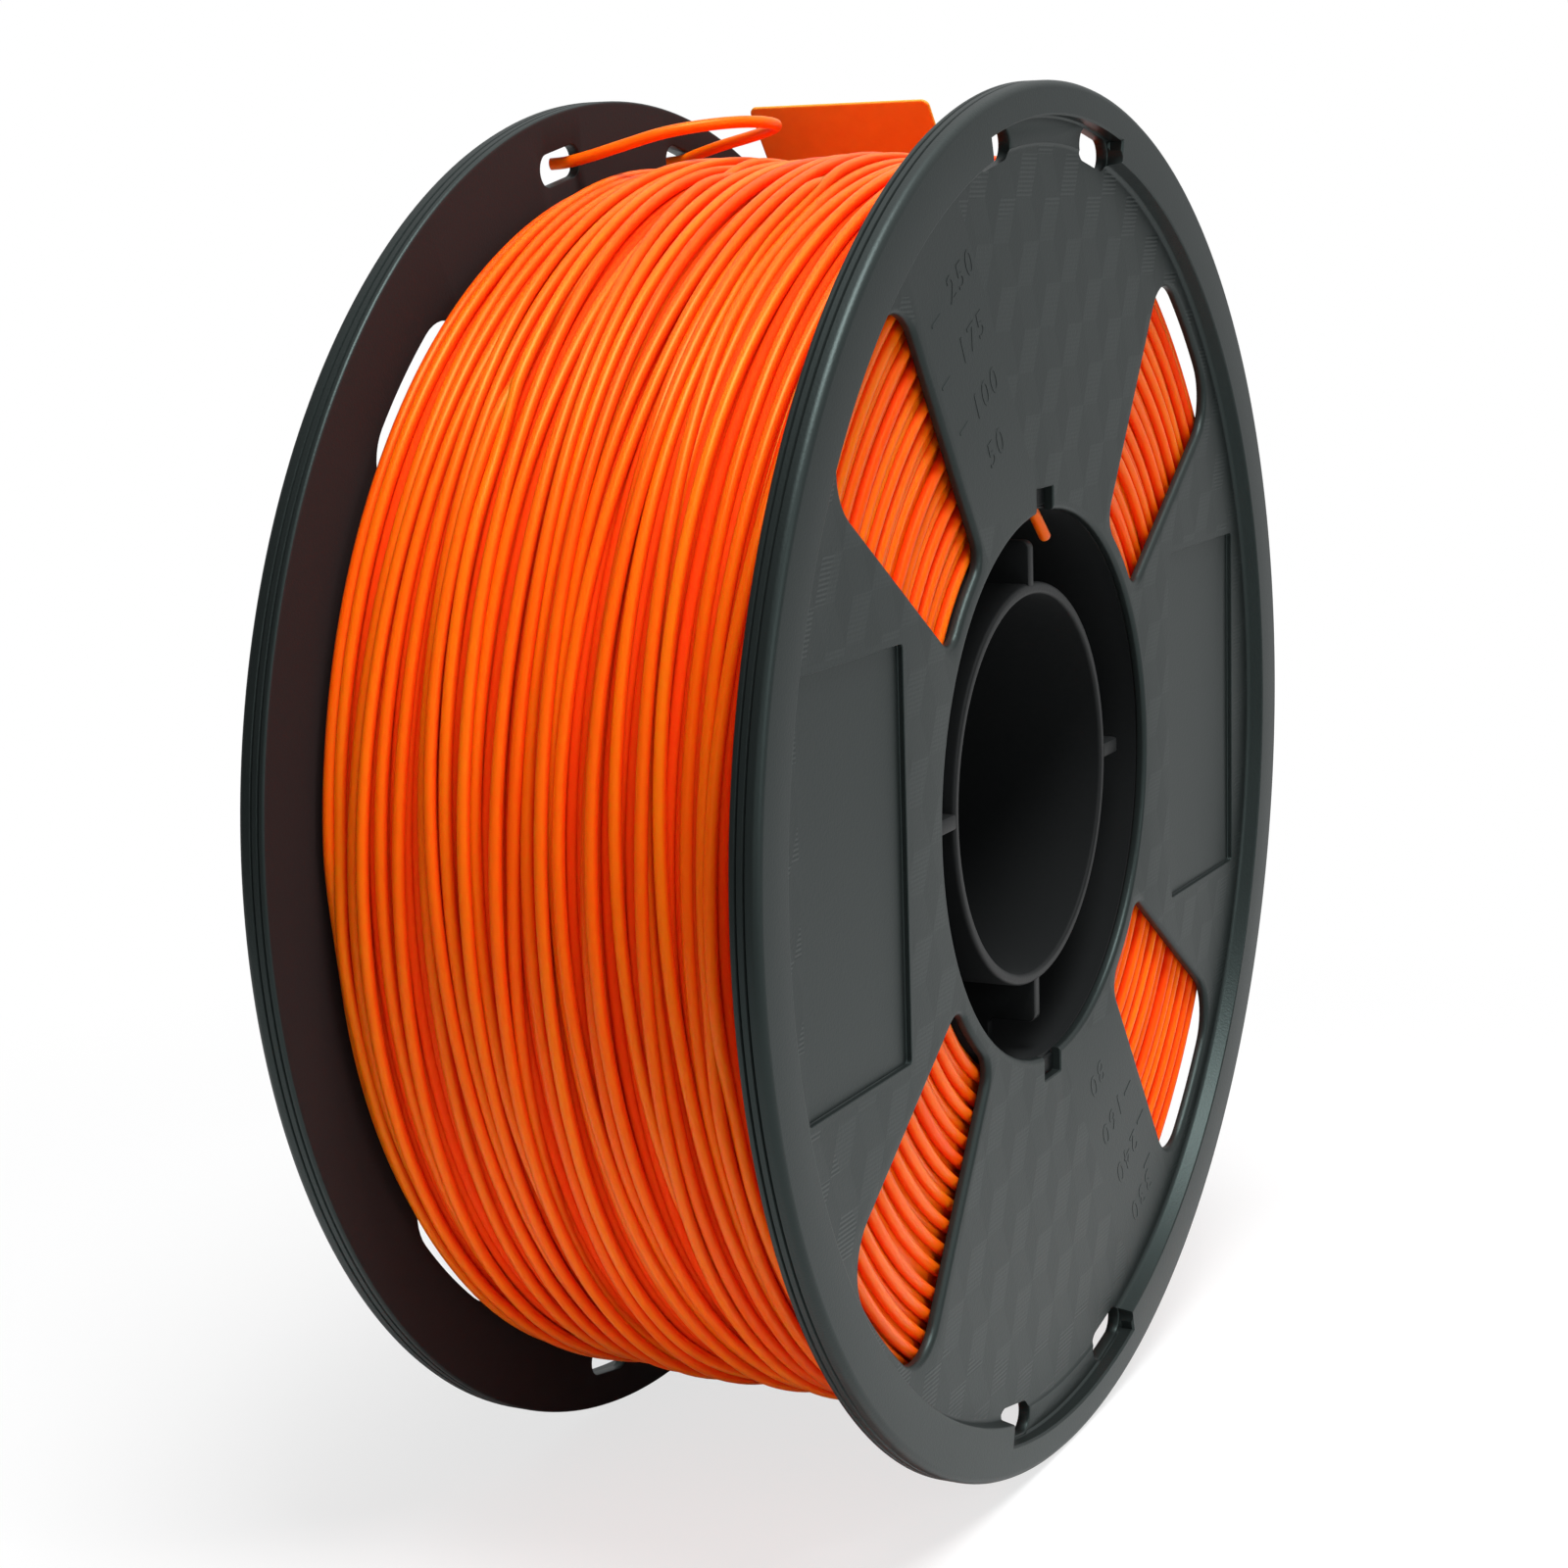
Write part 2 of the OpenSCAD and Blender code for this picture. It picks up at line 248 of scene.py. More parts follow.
def floor_material():
    """White floor: it shows almost white to the camera, keeps a soft shadow near the
    spool, and turns plain white further out so that no edge shows."""
    material, tree, shader = new_material("floor_white")
    shader.inputs["Base Color"].default_value = (0.85, 0.85, 0.85, 1)
    shader.inputs["Roughness"].default_value = 0.9
    shader.inputs["Specular IOR Level"].default_value = 0.0
    place = add(tree, "ShaderNodeTexCoord").outputs["Object"]
    level = add(tree, "ShaderNodeVectorMath", {0: place, 1: (1, 1, 0)}, operation="MULTIPLY")
    away = add(tree, "ShaderNodeVectorMath", {0: level.outputs[0]},
               operation="LENGTH").outputs["Value"]
    far = add(tree, "ShaderNodeMapRange", {"Value": away, "From Min": SHADE_NEAR,
                                           "From Max": SHADE_FAR, "To Min": FLOOR_WHITE,
                                           "To Max": 1.0},
              interpolation_type="SMOOTHSTEP").outputs[0]
    clear = add(tree, "ShaderNodeMapRange", {"Value": away, "From Min": MIRROR_NEAR,
                                             "From Max": MIRROR_FAR, "To Max": FLOOR_MIRRORED},
                interpolation_type="SMOOTHSTEP").outputs[0]
    path = add(tree, "ShaderNodeLightPath")
    seen = sums(tree, "MULTIPLY", path.outputs["Is Camera Ray"], far)
    mirrored = sums(tree, "MULTIPLY", path.outputs["Is Glossy Ray"], clear)
    through_glass = sums(tree, "MULTIPLY", path.outputs["Is Transmission Ray"], far)
    shown = sums(tree, "MAXIMUM", sums(tree, "MAXIMUM", seen, mirrored), through_glass)
    white = add(tree, "ShaderNodeEmission", {"Color": (1, 1, 1, 1), "Strength": 1.0})
    mix = add(tree, "ShaderNodeMixShader", {0: shown, 1: shader.outputs[0],
                                            2: white.outputs[0]})
    tree.links.new(mix.outputs[0], tree.nodes["Material Output"].inputs["Surface"])
    return material


floor_turn = np.arange(FLOOR_SIDES) * 2 * np.pi / FLOOR_SIDES
floor_edge = FLOOR_R * np.stack([np.cos(floor_turn), np.sin(floor_turn)], 1)
floor = new_piece("floor", np.c_[floor_edge, np.full(FLOOR_SIDES, FLOOR_Z)],
                  [list(range(FLOOR_SIDES))], floor_material())

world = bpy.data.worlds.new("room")
scene.world = world
world.use_nodes = True
sky = world.node_tree
sky_light = sky.nodes["Background"]
sky_light.inputs["Color"].default_value = (0.94, 0.98, 1.0, 1)
sky_way = add(sky, "ShaderNodeTexCoord").outputs["Generated"]


def sky_ramp(toward, low_at, low, high_at, high):
    """Level that goes from low to high as a direction turns towards one."""
    dot = add(sky, "ShaderNodeVectorMath", {0: sky_way, 1: toward}, operation="DOT_PRODUCT")
    return add(sky, "ShaderNodeMapRange", {"Value": dot.outputs["Value"], "From Min": low_at,
                                           "From Max": high_at, "To Min": low,
                                           "To Max": high}).outputs[0]


sky_level = sky_ramp(LIGHT_SIDE, -0.7, 0.08, 0.8, 0.37)
sky.links.new(sky_level, sky_light.inputs["Strength"])
sky_shown = add(sky, "ShaderNodeBackground", {"Color": (1, 1, 1, 1), "Strength": 1.0})
sky_path = add(sky, "ShaderNodeLightPath")
backdrop = sums(sky, "MULTIPLY", sky_ramp(PALE_SIDE, -0.5, 0.2, 0.6, 1.0),
                sky_ramp((0, 0, 1), -0.35, 1.0, 0.05, 0.35))
backdrop = sums(sky, "MAXIMUM", backdrop, sky_ramp(OVERHEAD, 0.4, 0.0, 0.9, 1.0))
sky_seen = sums(sky, "MAXIMUM", sky_path.outputs["Is Camera Ray"],
                sky_path.outputs["Is Transmission Ray"])
sky_seen = sums(sky, "MAXIMUM", sky_seen,
                sums(sky, "MULTIPLY", sky_path.outputs["Is Glossy Ray"], backdrop))
sky_mix = add(sky, "ShaderNodeMixShader", {0: sky_seen, 1: sky_light.outputs[0],
                                           2: sky_shown.outputs[0]})
sky.links.new(sky_mix.outputs[0], sky.nodes["World Output"].inputs["Surface"])


def softbox(name, place, power):
    """Square area lamp at place in millimetres, turned to the spool's middle."""
    data = bpy.data.lights.new(name, "AREA")
    data.size = LAMP_SIZE * MM
    data.energy = power
    lamp = bpy.data.objects.new(name, data)
    lamp.location = Vector(place) * MM
    lamp.rotation_mode = "QUATERNION"
    lamp.rotation_quaternion = Vector(place).to_track_quat("Z", "Y")
    scene.collection.objects.link(lamp)


softbox("lamp_above", (-200, -250, 950), 13.6)
softbox("lamp_right", (-350, -850, 250), 1.9)
softbox("lamp_front", (-900, -350, 150), 0.8)


# ---------------------------------------------------------------- winding
# About a kilogram of the same plastic filament, laid in layers by a machine. The last
# layer's turns lie side by side, wander a little and climb on each other where they are
# pressed together.
INNER_Y = 32.8        # inner face of each flange
DRUM_R = 42.4
CREST_R = 91.0        # the last layer's crests where it is fullest
FULL_AT, CARD_AT = math.radians(140), math.radians(36)
TURNS, TURN_STEPS = 29, 200
TURN_Y = INNER_Y - FILAMENT_R - 0.1
FIRST_ANGLE = -0.1
LAID_DEEP, LIFT_LOW, LIFT_HIGH = 0.35, -1.4, 0.75
SWEEPS, SETTLED = 8, 0.7      # passes in which turns settle, and the share done in each
PACKED = 0.85         # share of the height at which two round turns only touch
DIVE_DEEP, DIVE_TURNS = 4, 0.12
UNDER_TURNS, UNDER_STEPS, UNDER_DEEP = 37, 120, 1.8
SIDE_LAYERS, SIDE_STEPS, SIDE_OUT_R, SIDE_SINK = 28, 150, 86.3, 0.95
CORE_Y = 31.1


def crest_radius(y, angle):
    """Outer radius of the winding: fullest at its middle, less close to the flanges,
    at the front flange fuller below than above, at the rear flange fullest to the upper
    left, and pressed in where the card lies."""
    from_full = np.angle(np.exp(1j * (angle - FULL_AT)))
    rear = np.clip((y - 22) / 10, 0, 1) ** 2 * (2.8 - 1.2 * np.exp(-(from_full / 0.45) ** 2))
    front = np.clip((-y - 18) / 14, 0, 1) ** 2 * (2.2 + 1.9 * np.sin(angle))
    from_card = np.angle(np.exp(1j * (angle - CARD_AT)))
    pressed = 1.6 * np.exp(-(from_card / 0.42) ** 2)
    return CREST_R - rear - front - pressed + 0.25 * np.sin(angle * 2 + 0.6)


def wander(turn_angle, waves, seed):
    """Smooth number between about -1 and 1 along the filament: a sum of waves whose
    lengths don't share a common turn, so that neighbouring turns differ."""
    k = np.arange(waves)
    beat = 0.61 + 0.527 * k + 0.113 * np.sin(seed + k)
    phase = seed * 1.7 + 2.39 * k * k
    return np.sin(turn_angle[..., None] * beat + phase).sum(-1) / math.sqrt(waves)


def outer_turns():
    """Centre line of the last layer, one unbroken helix: its place along the axis is
    an even climb plus a drift that neighbours share and a wander of its own. Where two
    turns come closer than a diameter, the one that rides higher is lifted on the other.
    Both ends dive between the turns below."""
    count = TURNS * TURN_STEPS + 1
    along = np.arange(count) / TURN_STEPS
    angle = along * 2 * np.pi + FIRST_ANGLE
    even = -TURN_Y + 2 * TURN_Y * along / TURNS
    room = 1 - (even / TURN_Y) ** 4
    drift = (1.3 * np.sin(angle + even * 0.11 + 0.5) + 0.9 * np.sin(2 * angle - even * 0.21)
             + 0.6 * np.sin(3 * angle + even * 0.33 + 1.1)) * room
    own = 1.1 * wander(angle, 6, 2.0) * (0.2 + 0.8 * room)
    y = np.clip(even + drift + own, -TURN_Y, TURN_Y)
    lift = 0.5 * wander(angle, 3, 5.0)
    kernel = np.hanning(13)[1:-1]
    for sweep in range(SWEEPS):
        gap = np.abs(y[TURN_STEPS:] - y[:-TURN_STEPS])
        need = np.sqrt(np.maximum((2 * FILAMENT_R) ** 2 - gap**2, 0)) * PACKED
        above = lift[TURN_STEPS:] - lift[:-TURN_STEPS]
        short = np.maximum(need - np.abs(above), 0) * np.where(above > 0, 1, -1) / 2
        change = np.zeros(count)
        change[TURN_STEPS:] += short
        change[:-TURN_STEPS] -= short
        change = np.convolve(change, kernel / kernel.sum(), "same")
        lift = np.clip(lift + change * SETTLED, LIFT_LOW, LIFT_HIGH)
    from_end = np.minimum(along, TURNS - along)
    dive = DIVE_DEEP * np.clip(1 - from_end / DIVE_TURNS, 0, 1) ** 2
    radius = crest_radius(y, angle) - FILAMENT_R - LAID_DEEP + lift - dive
    return np.stack([radius * np.cos(angle), y, radius * np.sin(angle)], 1)


def under_turns():
    """Centre line of the layer below, seen only in the gaps: an even helix."""
    along = np.arange(UNDER_TURNS * UNDER_STEPS + 1) / UNDER_STEPS
    angle = -along * 2 * np.pi
    y = TURN_Y - 2 * TURN_Y * along / UNDER_TURNS
    radius = crest_radius(y, angle) - FILAMENT_R - UNDER_DEEP
    return np.stack([radius * np.cos(angle), y, radius * np.sin(angle)], 1)


def side_turns(seed):
    """Centre line of the turns that lie against a flange, seen through its windows: a
    spiral from the drum to the rim. Every second turn lies against the flange and the
    turns between sink in the gaps, and each turn wanders a little."""
    along = np.arange(SIDE_LAYERS * SIDE_STEPS + 1) / SIDE_STEPS
    angle = along * 2 * np.pi
    even = DRUM_R + FILAMENT_R + (SIDE_OUT_R - DRUM_R) * along / SIDE_LAYERS
    radius = even + 0.22 * wander(angle, 4, seed + 1)
    odd = np.convolve(np.floor(along) % 2, np.hanning(17) / 8, "same")
    sink = SIDE_SINK * odd + np.clip(0.25 + 0.3 * wander(angle, 5, seed + 4), 0, 0.9)
    y = INNER_Y - FILAMENT_R - 0.08 - sink
    return np.stack([radius * np.cos(angle), y, radius * np.sin(angle)], 1)


def lathe(section, steps):
    """Closed ring: the section's points (radius, distance along the axis) carried
    round the Y axis."""
    section = np.asarray(section, float)
    a = np.arange(steps)[:, None] * 2 * np.pi / steps
    points = np.stack(np.broadcast_arrays(section[:, 0] * np.cos(a), section[:, 1],
                                          section[:, 0] * np.sin(a)), -1)
    return points.reshape(-1, 3), grid_faces(steps, len(section), True).tolist()


def turned_over(path):
    """The same points on the spool's other side: half a turn about the Z axis."""
    return np.asarray(path) * [-1, -1, 1]


core = lathe([(DRUM_R + 0.1, -CORE_Y), (85.2, -CORE_Y), (87.5, -28), (87.5, 26),
              (84.5, CORE_Y), (DRUM_R + 0.1, CORE_Y)], 180)
winding_core = new_piece("winding_core", *core, orange_filament, sharp=40)
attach(winding_core, "root")
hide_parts("filament_core")
# A turn's flanks, which get the painted shade, face its neighbours: along the axis on the
# winding's face, along the radius in the side layers.
ALONG_AXIS, ALONG_RADIUS = [0, 1, 2], [0, 2, 1]     # which way a turn's neighbours lie
for name, path, sides, stands_for, beside in (
        ("winding_outer_turns", outer_turns(), 10, ["filament_outer_layer"], ALONG_AXIS),
        ("winding_turns_below", under_turns(), 8, [], ALONG_AXIS),
        ("winding_side_front", turned_over(side_turns(0.4)), 10, [], ALONG_RADIUS),
        ("winding_side_rear", side_turns(1.9), 8, [], ALONG_RADIUS)):
    points, faces, laid = tube(path, FILAMENT_R, sides)
    if name == "winding_turns_below":
        # Painted shade: the layer below is given the flanks' deeper red all over, for it shows
        # only in the shaded gaps between the last layer's turns.
        laid[:, 1] = 1        # all flank, for it is seen only in the gaps
    strand = new_piece(name, points, faces, orange_filament, laid[:, beside])
    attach(strand, "root")
    if stands_for:
        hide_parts(*stands_for)


# ---------------------------------------------------------------- start of the filament
# The first end of the same filament, hooked through a hole in the drum's wall before the
# first layer is laid. It is stiff, and stands free inside the front end of the barrel.
START_FROM = np.array([2.1, -30.6, 40.55])
START_TO = np.array([7.98, -30.6, 35.27])
START_SHARE = np.array([0, 0.2, 0.4, 0.6, 0.8, 0.97, 0.99, 1.0])
START_THINNER = np.array([0, 0, 0, 0, 0, 0, 0.05, 0.16])      # its tip is a little rounded
start_path = START_FROM + (START_TO - START_FROM) * START_SHARE[:, None]
start_radius = FILAMENT_R - START_THINNER
start_points, start_faces, start_laid = tube(start_path, start_radius, 24)
start = new_piece("filament_first_end", start_points, start_faces, orange_filament,
                  start_laid * NO_FLANKS, 60)
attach(start, "root")
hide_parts("filament_start")


# ---------------------------------------------------------------- flanges
# Each flange is one black styrene moulding: a flat web with four windows, a raised border
# ring, two sunk label panels, and tie holes for the filament's end in a channel of the
# ring. The web has a fine pattern of tumbling tiles, left smooth beside the gauge marks,
# drawn only in the colour, as painted sheen.
RIM_R, BORDER_R, OPENING_R = 100, 92, 40
FACE_Y, FIELD_Y = 37, 34.4
GROOVE_LOWS, GROOVE_W, GROOVE_DEEP = (33.6, 34.7), 0.4, 0.35
WINDOW_IN_R, WINDOW_OUT_R, WINDOW_HALF = 43, 88.5, math.radians(10.7)
WINDOW_IN_CORNER, WINDOW_OUT_CORNER = 3.5, 7.5
PANEL_X, PANEL_HALF_W, PANEL_HALF_H, PANEL_DEEP = 67.5, 15.5, 28, 0.8
TIE_R, TIE_A, TIE_W, TIE_LEN = 92.5, math.radians(11.8), 11.4, 4.6
CHANNEL_A, CHANNEL_Y = math.radians(15.3), 34.7
NOTCH_X, NOTCH_LOW, NOTCH_HIGH = (-4.6, 1.8), 38.5, 43.4
TILED_FROM, TILED_TO = OPENING_R + 1.2, BORDER_R - 0.8
TILE_PITCH, TILE_HIGH, TILE_HALF_W, TILE_SHIFT = 16.7, 12, 5.56, 5.3
LABEL_MARGIN = 1                              # left smooth round each label panel
STRIP_WAY, STRIP_W = (0.834, 0.552), 20.5     # left smooth beside the gauge marks
RULED_PITCH, RULED_CLEAR_R = 0.62, 83
FLANGE_BLACK = (0.003, 0.0038, 0.0037, 1)
FLANGE_GREY = (0.012, 0.0145, 0.014, 1)
# Painted reflection of the orange winding on the flanges' inner faces.
FLANGE_INSIDE_REFLECTION = (0.014, 0.003, 0.003, 1)


def rounded(corners, steps=5):
    """Closed outline from corners (x, y, radius): each corner is the arc of that radius
    that touches both of its sides."""
    xy = np.array([c[:2] for c in corners], float)
    points = []
    for i, (x, y, r) in enumerate(corners):
        here = xy[i]
        back, on = xy[i - 1] - here, xy[(i + 1) % len(xy)] - here
        back, on = back / np.linalg.norm(back), on / np.linalg.norm(on)
        half = math.acos(np.clip(back @ on, -1, 1)) / 2
        if r == 0 or half > math.pi / 2 - 0.02:
            points.append(here)
            continue
        middle = here + (back + on) / np.linalg.norm(back + on) * r / math.sin(half)
        a, b = here + back * r / math.tan(half) - middle, here + on * r / math.tan(half) - middle
        t = np.linspace(0, 1, steps + 1)[:, None]
        arc = a * (1 - t) + b * t
        points.extend(middle + arc / np.linalg.norm(arc, axis=1, keepdims=True) * r)
    return np.array(points)


def web_section():
    """Half section of a flange, as radius and distance from the spool's middle, with
    two fine grooves of triangular section round the rim. Two points on the web, at 60
    and 80, keep its faces short."""
    grooves = [corner for low in GROOVE_LOWS for corner in (
        (RIM_R, low, 0), (RIM_R - GROOVE_DEEP, low + GROOVE_W / 2, 0), (RIM_R, low + GROOVE_W, 0))]
    return rounded([
        (OPENING_R, INNER_Y, 0.3), (RIM_R, INNER_Y, 0.5), *grooves,
        (RIM_R, FACE_Y, 1.1), (BORDER_R + 0.1, FACE_Y, 0.3), (BORDER_R - 0.4, FIELD_Y, 0.8),
        (80, FIELD_Y, 0), (60, FIELD_Y, 0), (OPENING_R, FIELD_Y, 0.7)], 5)


def arc_points(radius, start, end, steps):
    """Points on a circle about the origin, from one angle to another."""
    a = np.linspace(start, end, steps)
    return radius * np.stack([np.cos(a), np.sin(a)], 1)


def window_outline():
    """Sector between two radii, its middle on the X axis: straight sides on lines
    through the axis, joined to the two arcs by round corners."""
    outer_r, inner_r = WINDOW_OUT_CORNER, WINDOW_IN_CORNER
    outer_a = WINDOW_HALF - math.asin(outer_r / (WINDOW_OUT_R - outer_r))
    inner_a = WINDOW_HALF - math.asin(inner_r / (WINDOW_IN_R + inner_r))
    wall, half_turn = WINDOW_HALF + math.pi / 2, math.pi
    parts = []
    for reach, corner, middle, start, end in (
            (WINDOW_OUT_R - outer_r, outer_r, -outer_a, -wall, -outer_a),
            (WINDOW_OUT_R - outer_r, outer_r, outer_a, outer_a, wall),
            (WINDOW_IN_R + inner_r, inner_r, inner_a, wall, half_turn + inner_a),
            (WINDOW_IN_R + inner_r, inner_r, -inner_a, half_turn - inner_a, 2 * half_turn - wall)):
        place = reach * np.array([math.cos(middle), math.sin(middle)])
        parts.append(place + arc_points(corner, start, end, 12))
    outer = arc_points(WINDOW_OUT_R, -outer_a, outer_a, 10)[1:-1]
    inner = arc_points(WINDOW_IN_R, inner_a, -inner_a, 6)[1:-1]
    return np.vstack([parts[0], outer, parts[1], parts[2], inner, parts[3]])


def prism(outline, levels):
    """Closed solid over an outline in X and Z, counted from X towards Z: at each level
    (grow, distance) it is grown outwards by grow, so that its edges come out round."""
    back = outline - np.roll(outline, 1, 0)
    on = np.roll(outline, -1, 0) - outline
    back /= np.linalg.norm(back, axis=1, keepdims=True)
    on /= np.linalg.norm(on, axis=1, keepdims=True)
    normal = np.stack([(back + on)[:, 1], -(back + on)[:, 0]], 1)
    normal *= 2 / (normal**2).sum(1, keepdims=True)
    count = len(outline)
    rings = [outline + normal * grow for grow, away in levels]
    points = np.vstack([np.c_[ring[:, 0], np.full(count, -away), ring[:, 1]]
                        for ring, (grow, away) in zip(rings, levels)])
    ends = [list(range(count))[::-1], list(range((len(levels) - 1) * count, len(levels) * count))]
    return points, grid_faces(len(levels), count).tolist() + ends


def rounding(low, high, low_r, high_r, steps=5):
    """Levels of a cutter through a wall from low to high, whose ends flare so that the
    hole's edges are rounded by low_r and high_r."""
    t = np.linspace(0, math.pi / 2, steps + 1)
    below = [(low_r * (1 - math.sin(a)), low + low_r * (1 - math.cos(a))) for a in t]
    above = [(high_r * (1 - math.cos(a)), high - high_r * (1 - math.sin(a))) for a in t]
    return [(low_r, low - 1)] + below + above + [(high_r, high + 4)]


def spun(points, angle):
    """Points turned about the Y axis, from X towards Z."""
    c, s = math.cos(angle), math.sin(angle)
    return np.stack([points[:, 0] * c - points[:, 2] * s, points[:, 1],
                     points[:, 0] * s + points[:, 2] * c], 1)


def joined(solids):
    """Points and faces of several solids as one mesh."""
    starts = np.cumsum([0] + [len(points) for points, faces in solids])
    faces = [[v + int(first) for v in face] for first, (points, part) in zip(starts, solids)
             for face in part]
    return np.vstack([points for points, part in solids]), faces


def cut(piece, solids):
    """Takes the solids out of the piece and keeps the result as its mesh."""
    tool = new_piece("tool", *joined(solids), piece.data.materials[0])
    modifier = piece.modifiers.new("cut", "BOOLEAN")
    modifier.operation = "DIFFERENCE"
    modifier.solver = "EXACT"
    modifier.object = tool
    ready = bpy.data.meshes.new_from_object(
        piece.evaluated_get(bpy.context.evaluated_depsgraph_get()))
    piece.modifiers.clear()
    old = piece.data
    piece.data = ready
    bpy.data.meshes.remove(old)
    bpy.data.objects.remove(tool)


def group(name, inputs, outputs):
    """New shader node group with number or vector inputs and outputs."""
    tree = bpy.data.node_groups.new(name, "ShaderNodeTree")
    for key, kind in inputs:
        tree.interface.new_socket(key, in_out="INPUT", socket_type=kind)
    for key, kind in outputs:
        tree.interface.new_socket(key, in_out="OUTPUT", socket_type=kind)
    return tree, tree.nodes.new("NodeGroupInput"), tree.nodes.new("NodeGroupOutput")


def grain_group():
    """Fine moulded grain: a pebbled height from fine noise, and slow clouds."""
    tree, given, out = group("moulded_grain",
                             [("Vector", "NodeSocketVector"), ("Size", "NodeSocketFloat")],
                             [("Height", "NodeSocketFloat"), ("Clouds", "NodeSocketFloat")])
    place = given.outputs["Vector"]
    fine = add(tree, "ShaderNodeTexNoise", {"Vector": place, "Scale": given.outputs["Size"],
                                            "Detail": 2.0})
    clouds = add(tree, "ShaderNodeTexNoise", {"Vector": place, "Scale": 22.0, "Detail": 4.0})
    tree.links.new(fine.outputs["Fac"], out.inputs["Height"])
    tree.links.new(clouds.outputs["Fac"], out.inputs["Clouds"])
    return tree


def tiles_group():
    """Tumbling tiles: hexagons 11.12 by 12 mm, in rows 16.7 mm apart and the rows
    between them, each split into an upper, a lower and a right-hand rhomb. Puts out
    -1, 0 or 1 for the three, and how far up in its hexagon a point lies."""
    tree, given, out = group("tumbling_tiles", [("Vector", "NodeSocketVector")],
                             [("Tile", "NodeSocketFloat"), ("Up", "NodeSocketFloat")])
    place = add(tree, "ShaderNodeSeparateXYZ", {0: given.outputs["Vector"]})
    x = sums(tree, "MULTIPLY_ADD", place.outputs["X"], 1 / MM / TILE_PITCH,
             TILE_SHIFT / TILE_PITCH)
    z = sums(tree, "MULTIPLY", place.outputs["Z"], 1 / MM / TILE_HIGH)

    def from_middle(value, size, start):
        """Millimetres from the middle of the row or column that a point lies in."""
        part = sums(tree, "FRACT", sums(tree, "ADD", value, start))
        return sums(tree, "MULTIPLY_ADD", part, size, -size / 2)

    ax, az = from_middle(x, TILE_PITCH, 100.5), from_middle(z, TILE_HIGH, 100.5)
    bx, bz = from_middle(x, TILE_PITCH, 100.0), from_middle(z, TILE_HIGH, 100.0)
    slope = TILE_HALF_W / TILE_HIGH
    reach = sums(tree, "MULTIPLY_ADD", sums(tree, "ABSOLUTE", az), slope,
                 sums(tree, "ABSOLUTE", ax))
    second = sums(tree, "GREATER_THAN", reach, TILE_HALF_W)
    hx = add(tree, "ShaderNodeMix", {"Factor": second, 2: ax, 3: bx}).outputs[0]
    hz = add(tree, "ShaderNodeMix", {"Factor": second, 2: az, 3: bz}).outputs[0]
    right = sums(tree, "GREATER_THAN", hx,
                 sums(tree, "MULTIPLY", sums(tree, "ABSOLUTE", hz), slope))
    upper = sums(tree, "GREATER_THAN", hz, 0.0)
    left = sums(tree, "SUBTRACT", 1.0, right)
    tile = sums(tree, "SUBTRACT", sums(tree, "MULTIPLY", left, upper), right)
    tree.links.new(tile, out.inputs["Tile"])
    tree.links.new(sums(tree, "DIVIDE", hz, TILE_HIGH / 2), out.inputs["Up"])
    return tree


moulded_grain = grain_group()
tumbling_tiles = tiles_group()


def band(tree, value, low, high):
    """1 where the value lies between low and high, else 0."""
    return sums(tree, "MULTIPLY", sums(tree, "GREATER_THAN", value, low),
                sums(tree, "LESS_THAN", value, high))


